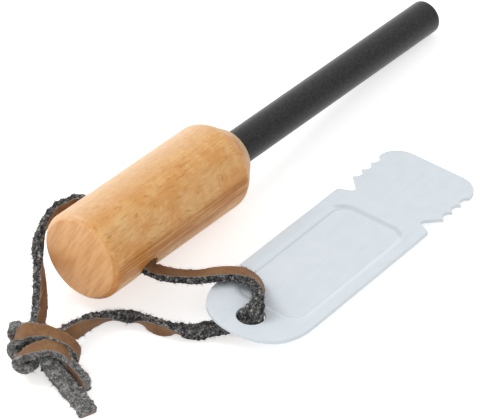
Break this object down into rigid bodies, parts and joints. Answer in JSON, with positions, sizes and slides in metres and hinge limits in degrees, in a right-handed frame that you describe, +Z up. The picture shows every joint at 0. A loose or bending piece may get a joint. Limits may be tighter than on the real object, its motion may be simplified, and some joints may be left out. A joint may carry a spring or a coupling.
{
  "type": "ferro rod fire starter",
  "caption": "Ferrocerium fire starter rod in a turned wooden handle, with a pressed steel striker tied to it by a leather lace.",
  "frame": {"origin": "on the table under the middle of the handle, rod and striker, the lace left out", "axes": "+X from the handle's butt along the rod to its tip, +Y from the striker's side across to the rod's side, +Z up from the table"},
  "size_m": [0.1754, 0.0714, 0.0278],
  "materials": {
    "beech": "turned and oiled beech, satin",
    "epoxy": "hard dark epoxy glue",
    "ferrocerium": "black satin coating over cast ferrocerium",
    "stainless": "bright stamped stainless steel sheet",
    "leather": "brown split leather, smooth grain side and grey fuzzy flesh side"
  },
  "bodies": {
    "firesteel": {"handle": "beech", "rod_adhesive": "epoxy", "ferro_rod": "ferrocerium", "lace_to_striker": "leather", "lace_to_knot": "leather", "lace_knot": "leather"},
    "striker": {"striker_plate": "stainless"}
  },
  "joints": [
    {"name": "striker_swivel", "type": "hinge", "parent": "firesteel", "child": "striker", "pos_m": [-0.0546, -0.01895, 0.00647], "axis": [0.0791, 0.0024, 0.9969], "range_deg": [-180, 20]}
  ]
}
